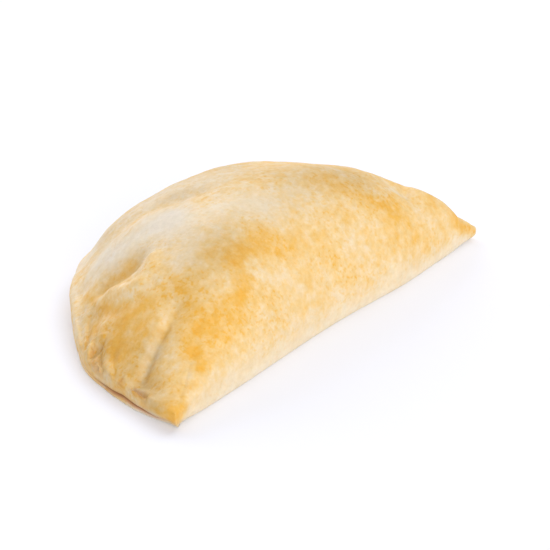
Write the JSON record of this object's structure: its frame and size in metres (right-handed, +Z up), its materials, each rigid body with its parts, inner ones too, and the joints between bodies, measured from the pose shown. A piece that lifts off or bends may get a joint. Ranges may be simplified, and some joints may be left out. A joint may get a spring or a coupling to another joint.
{
  "type": "spinach empanada",
  "caption": "Baked half-moon of golden dough folded over a filling, with a domed top, a straight rolled fold and a curved rim pressed shut.",
  "frame": {"origin": "middle of the flat underside's bounding box, on the surface it lies on", "axes": "X runs along the straight folded edge, with the flat pointed tip at +X; the folded edge faces -Y and the curved sealed rim +Y; +Z is up"},
  "size_m": [0.1244, 0.0686, 0.0299],
  "materials": {
    "baked_dough": null
  },
  "bodies": {
    "root": {"empanada": "baked_dough"}
  },
  "joints": []
}
